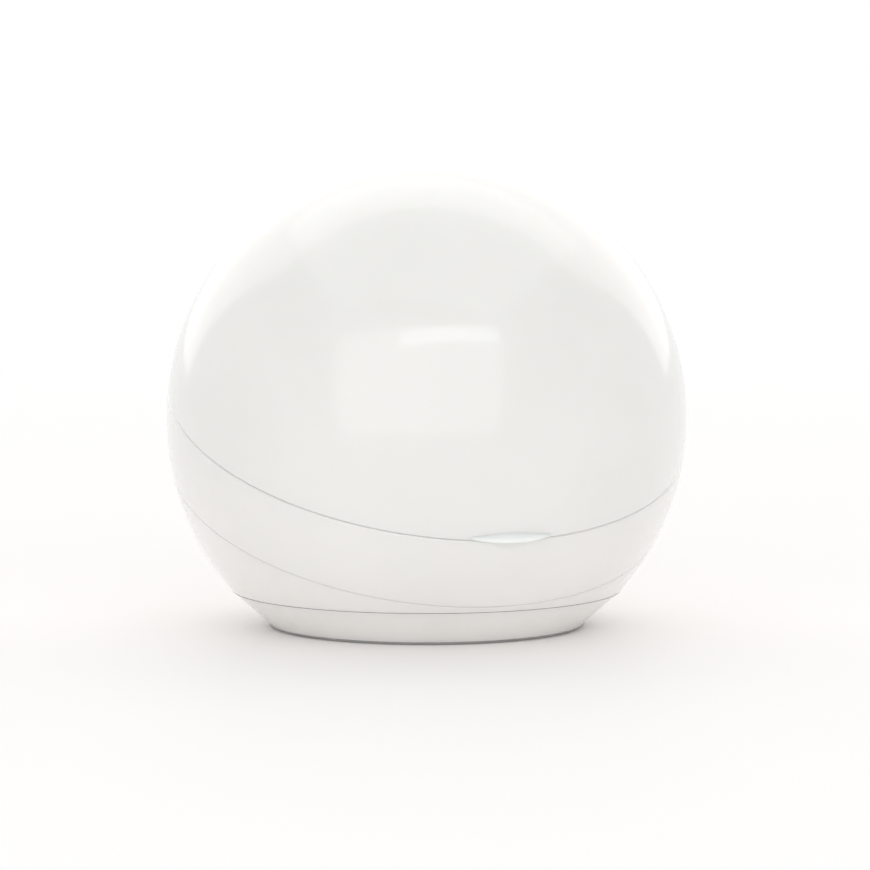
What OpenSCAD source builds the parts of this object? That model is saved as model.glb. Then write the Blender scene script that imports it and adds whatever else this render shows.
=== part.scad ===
// Ball-shaped steriliser case for one soother. A round shell on a flat foot is
// parted by a seam that slopes down to the front. The lid hinges at the back,
// a stepped tray lifts out of the base, and the lamp, the board and the cells
// lie below it. Origin: centre of the foot, on the table. +Z up, front is -Y.

/* [Ball] */
// Outside diameter of the ball
ball_d = 105; // [102:0.5:112]
// Height of the ball's centre above the table
ball_z = 42.3; // [41.5:0.1:43.5]
// Wall of the outer shells
wall = 2.2; // [1.8:0.1:2.5]

/* [Parting lines] */
// Slope of the seam, down to the front, in degrees
seam_tilt = 22; // [20:0.5:23]
// Height of the rim band, square to the seam
band_h = 16.3; // [15:0.1:16.6]
// Gap between two outer shells
parting_gap = 0.2; // [0.15:0.05:0.4]
// Rounding of the rim band's top edge
band_edge = 1.2; // [0.6:0.1:1.6]
// Rounding of the lid's lower edge
lid_edge = 0.4; // [0.3:0.1:0.9]

/* [Foot] */
// Height of the foot cover's edge
foot_h = 7.4; // [7:0.1:8]
// Land between the battery door's recess and the anti-slip ring
foot_land = 0.35; // [0.3:0.05:1.2]
// Rounding under the foot's edge
foot_edge = 1.4; // [0.8:0.1:1.6]
// Floor of the foot cover
foot_floor = 2.8; // [2.6:0.1:3.2]
// Height that the anti-slip ring lifts the foot
pad_lift = 0.6; // [0.4:0.1:1]
// Width of the anti-slip ring
pad_w = 2; // [1.6:0.1:2.2]

/* [Lid] */
// Thickness of the reflector inside the lid
liner_t = 0.9; // [0.8:0.1:1.2]
// Width of the thumb tab
tab_w = 17.5; // [14:0.5:20]
// How far the thumb tab stands out
tab_out = 1.5; // [1.2:0.1:2.5]
// Thickness of the thumb tab
tab_t = 2; // [1.8:0.1:2.6]
// Width of the tab's stem through the lid
stem_w = 11; // [8:0.5:12]

/* [Hinge] */
// How far the hinge axis lies outside the ball
hinge_out = 0.5; // [0.3:0.1:0.8]
// Radius of the hinge knuckles
knuckle_r = 3; // [2.8:0.1:3.2]
// Width of the lid's knuckle
knuckle_w = 17.4; // [14:0.2:20]
// Length of the hinge pin
pin_l = 30; // [28:0.5:34]
// Diameter of the hinge pin
pin_d = 2.5; // [2:0.1:2.8]

/* [Deck and tray] */
// Wall of the deck ring
deck_t = 1.6; // [1.4:0.1:1.8]
// Height of the deck ledge above the seam
ledge_z = 9.8; // [9:0.1:10.5]
// Width of the deck ledge
ledge_w = 5.8; // [5.2:0.1:6.2]
// Depth of the seat below the ledge
seat_drop = 3.4; // [3.2:0.1:3.8]
// Width of the seat
seat_w = 2.9; // [2.6:0.1:3.2]
// Thickness of the tray
tray_t = 1.4; // [1.2:0.1:1.5]
// Diameter of the tray's raised platform
platform_d = 58.8; // [54:0.2:60]
// Radius of the cove up to the platform
cove_r = 8; // [7:0.1:8.5]
// Diameter of the hole for the teat
teat_hole_d = 28; // [26:0.5:30]

/* [Chamber] */
// Lean of the bowl's wall where it meets the seat, in degrees
bowl_lean = 19; // [17.5:0.5:20.5]
// Thickness of the bowl
bowl_t = 1.2; // [1:0.1:1.4]
// Depth of the bowl's floor below the seam
bowl_depth = 13; // [12:0.1:13.2]
// Diameter of the lamp's tube
lamp_d = 4.4; // [4:0.1:4.6]
// Distance between the lamp's two legs
lamp_pitch = 13; // [12:0.1:14]
// Length of the lamp's straight legs
lamp_leg = 22.5; // [20:0.5:23]
// Height of the guard grille above the bowl's floor
guard_rise = 6.5; // [6.2:0.1:7]
// Width of the guard's bars
guard_bar = 1.6; // [1.2:0.1:2]
// Distance between the guard's bars
guard_pitch = 5.6; // [5:0.1:6.5]

/* [Switch] */
// Travel of the switch plunger
plunger_travel = 1.2; // [1:0.1:1.3]
// Diameter of the switch plunger
plunger_d = 2.4; // [2:0.1:2.4]
// Angle of the switch to the right of the front
switch_angle = 30; // [28:1:34]

/* [Power] */
// Diameter of one cell
cell_d = 10.5; // [10.3:0.1:10.5]
// Length of one cell
cell_l = 44.5; // [43:0.5:44.5]
// Number of cells
cells = 3; // [2:1:3]
// Wall of the battery bay
bay_wall = 1.2; // [1:0.1:1.4]
// Thickness of the battery door
door_t = 1.8; // [1.6:0.1:1.9]
// Width of the side port
port_w = 6.4; // [6.2:0.1:6.8]
// Height of the side port
port_h = 9; // [8:0.1:9.4]
// Distance from the seam down to the side port's centre
port_drop = 8.6; // [8.2:0.1:9]
// Diameter of the main board
board_d = 72; // [70:0.5:74]
// Thickness of the boards
board_t = 1.6; // [1.2:0.1:1.8]

/* [Hidden] */
$fn = 96;

// Clearances
fit = 0.3;          // between pieces that move past each other
seat_gap = 0.1;     // between pieces that rest on each other in one body
run_fit = 0.05;     // radial, of a shaft in its bore
press_fit = 0.02;   // radial, of a pin that is held by its bore
shank_gap = 0.2;    // radial, of a screw's shank in a clearance hole
head_gap = 0.3;     // radial, of a screw's head in its recess
skin = 0.05;        // overlap where two shapes fuse into one solid
far = 200;          // longer than anything here

// Outer shells
ball_r = ball_d / 2;
shell_in = ball_r - wall;
half_gap = parting_gap / 2;
liner_out = shell_in - seat_gap;
liner_in = liner_out - liner_t;
collar_gap = 0.5;
collar_r = liner_in - collar_gap;
function circle_at(r, h) = sqrt(r * r - h * h);

// Hinge
hinge_y = ball_r + hinge_out;
notch_r = knuckle_r + fit + seat_gap;
ear_w = (pin_l - knuckle_w) / 2 - fit;

// Thumb tab: a round-fronted lip that meets the ball at its two ends
tab_side_y = circle_at(ball_r, tab_w / 2);
tab_sag = ball_r + tab_out - tab_side_y;
tab_r = (pow(tab_w / 2, 2) + tab_sag * tab_sag) / (2 * tab_sag);
tab_y = -(ball_r + tab_out - tab_r);
tab_z = half_gap + 0.15;
tab_bevel = 1.1;
tab_edge_t = tab_t * 0.45;
stem_t = tab_t - 0.8;
stem_z = tab_z + 0.4;
stem_out = 0.6;
stem_in = 0.2;
liner_z = stem_z + stem_t + fit;
scoop_r = 30;
scoop_depth = 1.3;
scoop_lift = 5.5;

// Deck, seat, tray and bowl, all round the ball's tilted axis
ledge_r = circle_at(collar_r, ledge_z) - ledge_w;
ledge_edge = 1;
seat_z = ledge_z - seat_drop;
seat_r = ledge_r - seat_w;
collar_low = -4;
flange_t = 1.1;
bowl_flange_r = ledge_r - fit;
bowl_lip_z = seat_z + seat_gap;
bowl_edge_gap = 0.15;
bowl_r = (seat_r - bowl_edge_gap) / cos(bowl_lean) - bowl_t;
bowl_c = seat_z + (bowl_r + bowl_t) * sin(bowl_lean);
bowl_floor_r = circle_at(bowl_r, bowl_c + bowl_depth);
tray_r = ledge_r - fit;
tray_z = bowl_lip_z + flange_t + fit;
tray_edge = 0.6;
platform_r = platform_d / 2;
platform_edge = 0.7;
platform_rim = 2.6;
cove_x = platform_r + cove_r;
cove_z = tray_z + tray_t + cove_r;
platform_z = cove_z + 1.4;
hole_r = teat_hole_d / 2;
dish_drop = 2;
dish_z = platform_z - 0.6;
sleeve_l = 4.2;

// Lamp
lamp_z = -bowl_depth + 3.3;
lamp_y = 13.5;
lamp_bend_y = lamp_y - lamp_leg;
socket_l = 6;
socket_h = 5.6;
socket_w = lamp_pitch + lamp_d + 1.6;
socket_y = lamp_y - 1.5;
guard_z = -bowl_depth + guard_rise;
guard_t = 1.2;
guard_r = circle_at(bowl_r, bowl_c - guard_z) - seat_gap;
guard_flare = 0.6;
guard_rim = 2.6;
clip_w = 5;
clip_l = 4.6;
clip_wall = 1.4;
pipe_gap = 0.2;
pipe_t = 0.4;
pipe_end = 1.2;
lead_r = 0.6;
lead_knee = 0.15;
lead_x = 4;
lead_in = 1.5;
lead_y = lamp_y + socket_l / 2;
lead_drop = bowl_depth + 3;
lead_low_y = lead_y * cos(seam_tilt) + lead_drop * sin(seam_tilt);
lead_low_z = ball_z + lead_y * sin(seam_tilt) - lead_drop * cos(seam_tilt);

// Switch and indicator
switch_ring = collar_r - 3.5;
switch_in = collar_r - 6.8;
switch_w = 6;
switch_h = 5;
button_r = 0.9;
button_h = 0.2;
plunger_top = ledge_z + 0.4;
plunger_len = 6;
plunger_edge = 0.4;
plunger_flange_t = 1;
plunger_flange_r = plunger_d / 2 + 0.5;
plunger_flange_z = plunger_len - (plunger_top - ledge_z) - deck_t - plunger_travel - seat_gap
  - plunger_flange_t;
switch_top = plunger_top - plunger_len - fit;
switch_out = circle_at(collar_r - deck_t, switch_top) - seat_gap - fit;
switch_shelf_t = 2;
finger_w = 3;
led_r = 1.5;
led_z = 2.2;
led_l = 3.8;
led_back = -collar_r + 5.2;

// Band ledge that carries the deck ring
shelf_t = 1.5;
shelf_z = collar_low - seat_gap - shelf_t;
shelf_in = collar_r - 2.6;
lug_step = 0.2;
lug_z = shelf_z - 2 * lug_step;
lug_t = shelf_t + lug_step;
lug_r = 4;
lug_ring = collar_r - 4.5;
lug_angles = [90, 210, 330];
deck_post_r = 3.1;
deck_screw_l = 8;
screw_r = 1.1;
screw_head_r = 2.3;
screw_head_t = 1.6;
screw_slot = 0.6;
flat_head_t = 1;

// Foot, battery bay and door
foot_top_r = circle_at(ball_r, ball_z - foot_h);
lip_t = 1.2;
lip_h = 2;
foot_lip_r = circle_at(shell_in, ball_z - foot_h) - 2 * seat_gap;
bay_in_x = cells * cell_d + 1.5;
bay_in_y = cell_l + 4.5;
bay_low = pad_lift + foot_floor;
cell_z = pad_lift + door_t + fit + cell_d / 2;
bay_top = cell_z + cell_d / 2 + 0.4;
roof_t = 1.2;
door_x = bay_in_x + 2;
door_y = bay_in_y;
door_corner = 4;
door_reach = sqrt(pow(door_x / 2 - door_corner, 2) + pow(door_y / 2 - door_corner, 2)) + door_corner;
pad_in = door_reach + fit + foot_land + seat_gap;
pad_out = pad_in + pad_w;
pad_margin = 0.4;
pad_groove = 0.9;
pad_edge = 0.3;
foot_r = pad_out + pad_margin + foot_edge;
door_rib_h = 0.2;
opening_margin = 1;
ear_x = -(door_x / 2 + 3.2);
ear_r = 3.6;
door_head_z = pad_lift + 1.1;
door_screw_l = 5;
door_boss_r = 2.7;
door_boss_top = 9;
grips = 5;
grip_pitch = 2.2;
grip_r = 0.5;
grip_l = 16;
post_r = 3.25;
post_x = bay_in_x / 2 + bay_wall + post_r + 1.65;
post_y = 9;
post_rib_t = 1.4;
case_head_z = pad_lift + 0.9;
foot_boss_r = 4;
foot_boss_top = 5;
post_top = bay_top + roof_t + 0.4;
case_screw_l = 8;
board_screw_l = 5;

// Board and what it carries
board_z = post_top;
board_top = board_z + board_t;
chip = [8, 6, 1.8];
chip_at = [12, -12];
coil_core = [13, 11, 9];
coil_at = [-15, 20];
cap_r = 4;
cap_h = 12;
cap_at = [12, 22];
plug_size = [9, 5.5, 6];
plug_at = [24, -18];
transistor_r = 2.3;
transistor_h = 4.6;
transistor_leg = 3;
transistor_at = [[-20, 4], [-20, -3]];

// Side port and jack, in the tilted frame, drawn on the -X side and placed on the +X side
jack = [11, 8.6, 2 * (port_drop + collar_low - seat_gap)];
jack_corner = sqrt(pow(jack[1] / 2 + seat_gap, 2) + pow(port_drop + jack[2] / 2 + seat_gap, 2));
jack_front = circle_at(shell_in, jack_corner) - seat_gap;
jack_bore_r = 3;
jack_pin_r = 1;
jack_depth = 8.5;
jack_back = jack_front - jack[0];
pocket_t = 1.2;
pocket_y = jack[1] / 2 + pocket_t + seat_gap;
pocket_z = jack[2] / 2 + pocket_t + seat_gap;
jack_board_low = port_drop + 8;
jack_board_h = 13.5;
jack_lead_x = -jack_back + seat_gap + board_t;
jack_lead_y = 2;
jack_lead_out = 1.6;
jack_lead_drop = port_drop + 5;

// Cells' nubs and their contacts
nub_l = 0.8;
nub_r = 1.9;
sleeve_gap = 0.1;
contact_t = 0.4;
contact_w = 7;
contact_h = 8;
tail_w = 2;
slot_gap = 0.2;
leaf_out = 1.6;
leaf_inset = 1;
stud_out = 1.3;
stud_w = 3;

// Frame of the seam: the origin is the ball's centre and Z is square to the seam
module tilted() translate([0, 0, ball_z]) rotate([seam_tilt, 0, 0]) children();

// The +X side, where the port is
module port_side() mirror([1, 0, 0]) children();

// Half-plane profile between two radii and two heights, turned round the axis
module ball_zone(r_out, r_in, z_low, z_high) rotate_extrude() zone_2d(r_out, r_in, z_low, z_high);
module zone_2d(r_out, r_in, z_low, z_high) intersection() {
  difference() {
    circle(r_out);
    circle(r_in);
  }
  translate([0, z_low]) square([far, z_high - z_low]);
}
// Rectangle of a half-plane profile
module ring_2d(r_in, r_out, z_low, z_high)
  translate([r_in, z_low]) square([r_out - r_in, z_high - z_low]);
// Waste outside a rounded outer corner: up is 1 for a top corner and -1 for a bottom one
module corner_2d(x, z, r, up) translate([x - r, z - up * r]) mirror([0, up < 0 ? 1 : 0])
  difference() {
    square(r + 1);
    circle(r);
  }
module rounded_2d(x, y, r) union() {
  square([x - 2 * r, y], center = true);
  square([x, y - 2 * r], center = true);
  for (i = [-1, 1], j = [-1, 1]) translate([i * (x / 2 - r), j * (y / 2 - r)]) circle(r);
}
module across(l, r, x = 0) translate([x, 0, 0]) rotate([0, 90, 0]) cylinder(r = r, h = l, center = true);
// Pan-head screw, its head's underside at the origin and its shank along +Z
module screw(l, head_t = screw_head_t) difference() {
  union() {
    cylinder(r = screw_r, h = l);
    translate([0, 0, -head_t]) cylinder(r = screw_head_r, h = head_t);
  }
  for (a = [0, 90]) rotate(a) translate([-screw_head_r * 0.6, -screw_slot / 2, -head_t - skin])
    cube([screw_head_r * 1.2, screw_slot, screw_slot]);
}
module at_posts() for (i = [-1, 1], j = [-1, 1]) translate([i * post_x, j * post_y, 0]) children();
module at_lugs() for (a = lug_angles) rotate(a) translate([lug_ring, 0, 0]) children();

// ---- Lid ----
module hinge_notch(l, x) translate([x, hinge_y, 0]) rotate([0, 90, 0])
  cylinder(r = notch_r, h = l, center = true);

module lid_shell() color("whitesmoke") tilted() difference() {
  union() {
    rotate_extrude() difference() {
      zone_2d(ball_r, shell_in, half_gap, far);
      corner_2d(circle_at(ball_r, half_gap), half_gap, lid_edge, -1);
    }
    translate([0, hinge_y, 0]) across(knuckle_w, knuckle_r);
  }
  translate([0, hinge_y, 0]) across(far, pin_d / 2 + run_fit);
  for (i = [-1, 1]) hinge_notch(ear_w + 2 * fit, i * (knuckle_w + ear_w + 2 * fit) / 2);
  sphere(liner_out);
  translate([-stem_w / 2 - seat_gap, -far, stem_z - seat_gap])
    cube([stem_w + 2 * seat_gap, far, stem_t + 2 * seat_gap]);
}

// The liner's edge stays above the hinge and above the tab's stem
module lid_liner() color("gainsboro") tilted() union() {
  ball_zone(liner_out, liner_in, liner_z, far);
  switch_finger();
}
// Finger under the liner that holds the switch plunger down while the lid is shut
module switch_finger() {
  liner_mid = (liner_in + liner_out) / 2;
  inner = switch_ring - finger_w / 2;
  outer = switch_ring + finger_w / 2;
  low = plunger_top + fit;
  rotate(switch_angle - 90) rotate([90, 0, 0]) linear_extrude(finger_w, center = true)
    polygon([[inner, low], [outer, low],
      [outer, circle_at(liner_mid, outer)], [inner, circle_at(liner_mid, inner)]]);
}

// Fine steps, as so small a piece of a large ball shows every facet
module thumb_tab() color("lightcyan") tilted() union() {
  $fn = 360;
  difference() {
    translate([0, tab_y, tab_z]) union() {
      cylinder(r = tab_r, h = tab_edge_t);
      translate([0, 0, tab_edge_t]) cylinder(r1 = tab_r, r2 = tab_r - tab_bevel, h = tab_t - tab_edge_t);
    }
    sphere(ball_r + seat_gap);
  }
  intersection() {
    translate([-stem_w / 2, -far, stem_z]) cube([stem_w, far, stem_t]);
    difference() {
      sphere(ball_r + stem_out);
      sphere(liner_in + stem_in);
    }
  }
}

module hinge_pin() color("silver") tilted() translate([0, hinge_y, 0]) across(pin_l, pin_d / 2);

// ---- Base ----
module rim_band() color("whitesmoke") tilted() difference() {
  union() {
    rotate_extrude() difference() {
      union() {
        zone_2d(ball_r, shell_in, -band_h + half_gap, -half_gap);
        intersection() {
          ring_2d(shelf_in, far, shelf_z, shelf_z + shelf_t);
          circle(shell_in + skin);
        }
      }
      corner_2d(ball_r, -half_gap, band_edge, 1);
    }
    at_lugs() translate([0, 0, lug_z]) cylinder(r = lug_r, h = lug_t);
    band_ears();
    port_side() jack_pocket();
  }
  translate([0, hinge_y, 0]) across(far, pin_d / 2 + press_fit);
  hinge_notch(knuckle_w + 2 * fit, 0);
  at_lugs() translate([0, 0, lug_z - skin]) cylinder(r = screw_r + shank_gap, h = far);
  port_side() translate([-jack_front - seat_gap, -pocket_y + pocket_t, -port_drop - pocket_z + pocket_t])
    cube([jack[0], 2 * (pocket_y - pocket_t), far]);
  port_side() side_port();
  thumb_scoop();
}
module band_ears() for (i = [-1, 1]) translate([i * (pin_l - ear_w) / 2, hinge_y, 0]) difference() {
  across(ear_w, knuckle_r);
  translate([0, -hinge_y, 0]) sphere(shell_in);
}
// Open-backed box behind the port that the jack slides into
module jack_pocket() intersection() {
  translate([-far, -pocket_y, -port_drop - pocket_z]) difference() {
    cube([far - jack_back - 2, 2 * pocket_y, 2 * pocket_z]);
    translate([far - jack_front - seat_gap, pocket_t, pocket_t])
      cube([far, 2 * (pocket_y - pocket_t), 2 * (pocket_z - pocket_t)]);
  }
  difference() {
    sphere(ball_r - 1);
    translate([0, 0, shelf_z + shelf_t + far]) cube(2 * far, center = true);
  }
}
module side_port() translate([0, 0, -port_drop]) rotate([0, -90, 0])
  translate([0, 0, jack_front - 1]) linear_extrude(far) rounded_2d(port_h, port_w, port_w / 2 - 0.2);
// Dimple under the thumb tab: the lower edge of a round hollow that is centred above the seam
module thumb_scoop() rotate([-scoop_lift, 0, 0]) translate([0, -(ball_r + scoop_r - scoop_depth), 0])
  sphere(scoop_r);

module base_shell() color("whitesmoke") difference() {
  union() {
    difference() {
      tilted() union() {
        ball_zone(ball_r, shell_in, -far, -band_h - half_gap);
        ball_zone(shell_in - seat_gap, shell_in - seat_gap - lip_t, -band_h - 3, -band_h + lip_h);
        ball_zone(shell_in + skin, shell_in - seat_gap - lip_t, -band_h - 3, -band_h - half_gap);
      }
      translate([0, 0, foot_h + half_gap - far]) cube(2 * far, center = true);
      translate([0, 0, foot_h + half_gap - skin]) cylinder(r = foot_lip_r + seat_gap, h = lip_h + skin);
      port_side() tilted() translate([-far, -pocket_y - seat_gap, -port_drop - pocket_z - seat_gap])
        cube([far - jack_back, 2 * (pocket_y + seat_gap), far]);
    }
    base_posts();
  }
  at_posts() translate([0, 0, foot_boss_top]) cylinder(r = screw_r + run_fit, h = far);
}
// Screw posts, each with a rib out to the shell
module base_posts() intersection() {
  for (i = [-1, 1], j = [-1, 1]) translate([i * post_x, j * post_y, 0]) union() {
    translate([0, 0, foot_boss_top + seat_gap]) cylinder(r = post_r, h = post_top - foot_boss_top - seat_gap);
    rotate(atan2(j * post_y, i * post_x)) translate([0, -post_rib_t / 2, foot_h + lip_h + 0.5])
      cube([far, post_rib_t, post_top - foot_h - lip_h - 1.5]);
  }
  translate([0, 0, ball_z]) sphere(shell_in + 0.3);
}

module foot_cover() color("whitesmoke") difference() {
  union() {
    difference() {
      rotate_extrude() foot_profile();
      foot_pocket();
    }
    bay_box();
    at_posts() translate([0, 0, pad_lift + 1]) cylinder(r = foot_boss_r, h = foot_boss_top - pad_lift - 1);
    translate([ear_x, 0, pad_lift + door_t + seat_gap])
      cylinder(r = door_boss_r, h = door_boss_top - pad_lift - door_t);
  }
  door_recess();
  translate([0, 0, -skin]) linear_extrude(bay_top + skin)
    square([bay_in_x, bay_in_y - 2 * opening_margin], center = true);
  translate([-bay_in_x / 2, -bay_in_y / 2, bay_low]) cube([bay_in_x, bay_in_y, bay_top - bay_low]);
  at_posts() translate([0, 0, -skin])
    cylinder(r = screw_head_r + head_gap, h = case_head_z + screw_head_t + skin);
  at_posts() cylinder(r = screw_r + shank_gap, h = far);
  translate([ear_x, 0, 0]) cylinder(r = screw_r + run_fit, h = far);
  ring_groove();
  contact_slots();
}
module foot_profile() difference() {
  polygon([[0, pad_lift], [foot_r - foot_edge, pad_lift], [foot_r, pad_lift + foot_edge],
    [foot_top_r, foot_h - half_gap], [foot_lip_r, foot_h - half_gap], [foot_lip_r, foot_h + lip_h],
    [foot_lip_r - lip_t, foot_h + lip_h], [0, foot_h + lip_h]]);
  corner_2d(foot_r, pad_lift, foot_edge, -1);
}
module foot_pocket() {
  in_top = foot_lip_r - lip_t;
  in_low = foot_r - wall;
  rotate_extrude() polygon([[0, bay_low], [in_low, bay_low], [in_top, foot_h - half_gap - 0.6],
    [in_top, foot_h + lip_h + 1], [0, foot_h + lip_h + 1]]);
}
module bay_box() translate([-bay_in_x / 2 - bay_wall, -bay_in_y / 2 - bay_wall, pad_lift + 1])
  cube([bay_in_x + 2 * bay_wall, bay_in_y + 2 * bay_wall, bay_top + roof_t - pad_lift - 1]);
module door_outline(gap) union() {
  rounded_2d(door_x + 2 * gap, door_y + 2 * gap, door_corner + gap);
  translate([ear_x, 0]) circle(ear_r + gap);
}
module door_recess() translate([0, 0, -skin])
  linear_extrude(pad_lift + door_t + seat_gap + skin) door_outline(fit);
module ring_groove() rotate_extrude()
  ring_2d(pad_in - seat_gap, pad_out + seat_gap, 0, pad_lift + pad_groove);

module foot_ring() color("dimgray") rotate_extrude() difference() {
  ring_2d(pad_in, pad_out, 0, pad_lift + pad_groove);
  corner_2d(pad_out, 0, pad_edge, -1);
}

module battery_door() color("whitesmoke") difference() {
  union() {
    translate([0, 0, pad_lift]) linear_extrude(door_t) door_outline(0);
    translate([0, 0, pad_lift + door_t - skin]) linear_extrude(door_rib_h + skin) door_rib();
  }
  translate([ear_x, 0, 0]) cylinder(r = screw_head_r + head_gap, h = door_head_z);
  translate([ear_x, 0, 0]) cylinder(r = screw_r + run_fit, h = far);
  door_grips();
}
// Low rib that centres the door in the bay's opening
module door_rib() {
  rib_x = bay_in_x - 2 * fit;
  rib_y = bay_in_y - 2 * opening_margin - 2 * fit;
  difference() {
    square([rib_x, rib_y], center = true);
    square([rib_x - 2, rib_y - 2], center = true);
  }
}
// Finger grooves across the end of the door
module door_grips() for (i = [0:grips - 1])
  translate([0, -door_y / 2 + 5 + grip_pitch * i, pad_lift]) across(grip_l, grip_r);

module door_screw() color("silver") translate([ear_x, 0, door_head_z - seat_gap]) screw(door_screw_l, flat_head_t);
module case_screws() color("silver") at_posts() translate([0, 0, case_head_z + screw_head_t]) screw(case_screw_l);

// ---- Deck, tray and chamber ----
module deck_ring() color("white") tilted() difference() {
  union() {
    rotate_extrude() deck_profile();
    deck_posts();
    switch_shelf();
  }
  rotate(switch_angle - 90) translate([switch_ring, 0, 0]) union() {
    cylinder(r = plunger_d / 2 + seat_gap, h = far);
    cylinder(r = plunger_flange_r + seat_gap, h = ledge_z - deck_t - skin);
  }
  at_lugs() translate([0, 0, collar_low + lug_step - skin]) cylinder(r = screw_r + run_fit, h = deck_screw_l);
  translate([0, led_back - fit, led_z]) rotate([90, 0, 0]) cylinder(r = led_r + seat_gap, h = far);
}
module deck_profile() difference() {
  union() {
    zone_2d(collar_r, collar_r - deck_t, collar_low, ledge_z);
    intersection() {
      ring_2d(ledge_r, collar_r, ledge_z - deck_t, ledge_z);
      circle(collar_r);
    }
    ring_2d(ledge_r, ledge_r + deck_t, seat_z - deck_t, ledge_z);
    ring_2d(seat_r, ledge_r + deck_t, seat_z - deck_t, seat_z);
  }
  corner_2d(circle_at(collar_r, ledge_z) + 0.12, ledge_z, ledge_edge, 1);
}
// Screw posts, cut back to the middle of the seat and its wall where the bowl and the tray lie
module deck_posts() difference() {
  at_lugs() translate([0, 0, collar_low + lug_step])
    cylinder(r = deck_post_r, h = ledge_z - deck_t - collar_low - lug_step + skin);
  translate([0, 0, seat_z - deck_t / 2]) cylinder(r = ledge_r + deck_t / 2, h = far);
}
// Shelf under the safety switch
module switch_shelf() intersection() {
  rotate(switch_angle - 90) translate([switch_in - 0.4, -switch_w / 2 - 1, switch_top - switch_h - switch_shelf_t])
    cube([far, switch_w + 2, switch_shelf_t - seat_gap]);
  sphere(collar_r - deck_t + skin);
}

module deck_screws() color("silver") tilted() at_lugs() translate([0, 0, lug_z]) screw(deck_screw_l);

module soother_tray() color("white") tilted() rotate_extrude() difference() {
  union() {
    ring_2d(cove_x, tray_r, tray_z, tray_z + tray_t);
    intersection() {
      translate([cove_x, cove_z]) difference() {
        circle(cove_r + tray_t);
        circle(cove_r);
      }
      ring_2d(0, cove_x + skin, 0, cove_z);
    }
    ring_2d(platform_r - tray_t, platform_r, cove_z - skin, platform_z);
    ring_2d(platform_r - platform_rim, platform_r, platform_z - tray_t, platform_z);
    platform_dish();
    ring_2d(hole_r, hole_r + tray_t, platform_z - dish_drop - fit - sleeve_l, platform_z - dish_drop - fit);
  }
  corner_2d(platform_r, platform_z, platform_edge, 1);
  corner_2d(tray_r, tray_z + tray_t, tray_edge, 1);
}
// Sloping top of the platform, down to the teat's hole
module platform_dish() {
  dish_r = platform_r - platform_rim + 0.1;
  polygon([[dish_r, dish_z], [hole_r, platform_z - dish_drop], [hole_r, platform_z - dish_drop - tray_t],
    [dish_r, dish_z - tray_t]]);
}

module chamber_bowl() color("silver") tilted() difference() {
  rotate_extrude() union() {
    translate([0, bowl_c]) intersection() {
      difference() {
        circle(bowl_r + bowl_t);
        circle(bowl_r);
      }
      ring_2d(0, far, -bowl_c - bowl_depth - bowl_t, -bowl_c + bowl_lip_z + flange_t);
    }
    ring_2d(0, bowl_floor_r + skin, -bowl_depth - bowl_t, -bowl_depth);
    ring_2d(circle_at(bowl_r, bowl_c - bowl_lip_z) + 0.3, bowl_flange_r, bowl_lip_z, bowl_lip_z + flange_t);
  }
  for (i = [-1, 1]) translate([i * lead_x, lead_y, -far / 2]) cylinder(r = lead_r + fit + seat_gap, h = far);
}

module lamp_guard() color("white") tilted() translate([0, 0, guard_z]) difference() {
  union() {
    difference() {
      cylinder(r1 = guard_r, r2 = guard_r + guard_flare, h = guard_t);
      translate([0, 0, -skin]) cylinder(r = guard_r - guard_rim, h = guard_t + 2 * skin);
    }
    intersection() {
      union() {
        for (i = [-4:4]) translate([i * guard_pitch - guard_bar / 2, -guard_r, 0])
          cube([guard_bar, 2 * guard_r, guard_t]);
        for (j = [-1, 1]) translate([-guard_r, j * guard_r / 3 - guard_bar / 2, 0])
          cube([2 * guard_r, guard_bar, guard_t]);
      }
      cylinder(r = guard_r - guard_rim + skin, h = guard_t);
    }
  }
}

module uv_lamp() color("azure") tilted() translate([0, 0, lamp_z]) union() {
  for (i = [-1, 1]) translate([i * lamp_pitch / 2, lamp_bend_y, 0]) rotate([-90, 0, 0])
    cylinder(r = lamp_d / 2, h = lamp_leg);
  translate([0, lamp_bend_y, 0]) intersection() {
    rotate_extrude() translate([lamp_pitch / 2, 0]) circle(lamp_d / 2);
    translate([-far, -far, -far]) cube([2 * far, far, 2 * far]);
  }
}
module lamp_socket() color("white") tilted() difference() {
  translate([-socket_w / 2, socket_y, -bowl_depth + seat_gap]) cube([socket_w, socket_l, socket_h]);
  for (i = [-1, 1]) translate([i * lamp_pitch / 2, 0, lamp_z]) rotate([-90, 0, 0])
    cylinder(r = lamp_d / 2 + seat_gap, h = lamp_y + seat_gap);
  for (i = [-1, 1]) translate([i * lead_x, lead_y, -bowl_depth]) cylinder(r = lead_r + seat_gap, h = 3);
}
// Clip that holds the lamp's bend
module lamp_clip() color("white") tilted() difference() {
  translate([-clip_w / 2, lamp_bend_y - lamp_pitch / 2 - lamp_d / 2 - clip_wall, -bowl_depth + seat_gap])
    cube([clip_w, clip_l, lamp_z + bowl_depth + 0.9]);
  translate([0, lamp_bend_y, lamp_z]) rotate_extrude() translate([lamp_pitch / 2, 0]) circle(lamp_d / 2 + seat_gap);
  translate([-far, lamp_bend_y - lamp_pitch / 2, lamp_z]) cube([2 * far, far, far]);
}
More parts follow.
